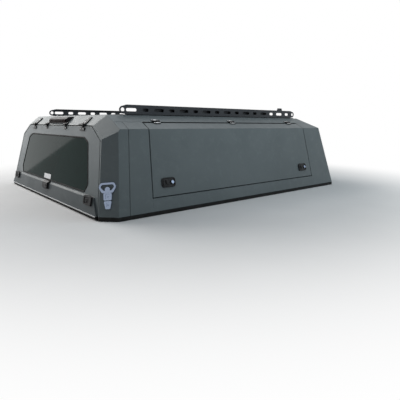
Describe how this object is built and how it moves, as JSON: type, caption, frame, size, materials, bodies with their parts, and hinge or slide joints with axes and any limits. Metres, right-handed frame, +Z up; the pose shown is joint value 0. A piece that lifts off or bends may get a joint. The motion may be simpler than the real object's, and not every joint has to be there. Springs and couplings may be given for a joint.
{
  "type": "pickup truck canopy",
  "caption": "Angular sheet metal canopy for a pickup bed, with lifting rear and side doors and a low roof rack.",
  "frame": {"origin": "centre of the four outer clamp bolts, on the underside of the bed-rail gaskets", "axes": "+X to the canopy's right side, +Y forwards to the cab, +Z up"},
  "size_m": [1.56, 1.8648, 0.568],
  "materials": {
    "powder_coat": "satin",
    "rack_steel": "satin",
    "rubber": "matte",
    "tinted_glass": "gloss",
    "black_hardware": "satin",
    "lamp_lens": "gloss",
    "opener_steel": "satin"
  },
  "bodies": {
    "shell": {"roof_panel": "powder_coat", "rear_header": "powder_coat", "rear_right_corner": "powder_coat", "rear_left_corner": "powder_coat", "right_side_rear": "powder_coat", "right_sill": "powder_coat", "right_side_front": "powder_coat", "left_side_rear": "powder_coat", "left_sill": "powder_coat", "left_side_front": "powder_coat", "front_wall": "powder_coat", "rear_door_jamb": "powder_coat", "right_door_jamb": "powder_coat", "left_door_jamb": "powder_coat", "right_base_rail": "powder_coat", "left_base_rail": "powder_coat", "front_base_rail": "powder_coat", "rack_right_rail": "rack_steel", "rack_left_rail": "rack_steel", "rack_rear_fascia": "rack_steel", "rack_front_fascia": "rack_steel", "rack_slats": "rack_steel", "rack_feet": "rack_steel", "right_gasket": "rubber", "left_gasket": "rubber", "front_gasket": "rubber", "front_window": "tinted_glass", "brake_lamp_housing": "black_hardware", "rear_hinge_arms": "black_hardware", "right_hinge_leaves": "black_hardware", "left_hinge_leaves": "black_hardware", "brake_lamp_lens": "lamp_lens", "opener_body": "opener_steel", "opener_loop": "opener_steel"},
    "rear_door": {"rear_door_skin": "powder_coat", "rear_door_frame": "powder_coat", "rear_door_glass": "tinted_glass", "rear_door_rail": "powder_coat", "rear_door_seal": "rubber", "rear_door_hinges": "black_hardware", "rear_door_latches": "black_hardware", "rear_door_handle": "black_hardware"},
    "right_door": {"right_door_skin": "powder_coat", "right_door_frame": "powder_coat", "right_door_hinges": "black_hardware", "right_door_latches": "black_hardware"},
    "left_door": {"left_door_skin": "powder_coat", "left_door_frame": "powder_coat", "left_door_hinges": "black_hardware", "left_door_latches": "black_hardware"}
  },
  "joints": [
    {"name": "rear_door_hinge", "type": "hinge", "parent": "shell", "child": "rear_door", "pos_m": [0, -0.86648, 0.443], "axis": [-1, 0, 0], "range_deg": [0, 85]},
    {"name": "right_door_hinge", "type": "hinge", "parent": "shell", "child": "right_door", "pos_m": [0.61364, 0, 0.4645], "axis": [0, -1, 0], "range_deg": [0, 90]},
    {"name": "left_door_hinge", "type": "hinge", "parent": "shell", "child": "left_door", "pos_m": [-0.61364, 0, 0.4645], "axis": [0, 1, 0], "range_deg": [0, 90]}
  ]
}
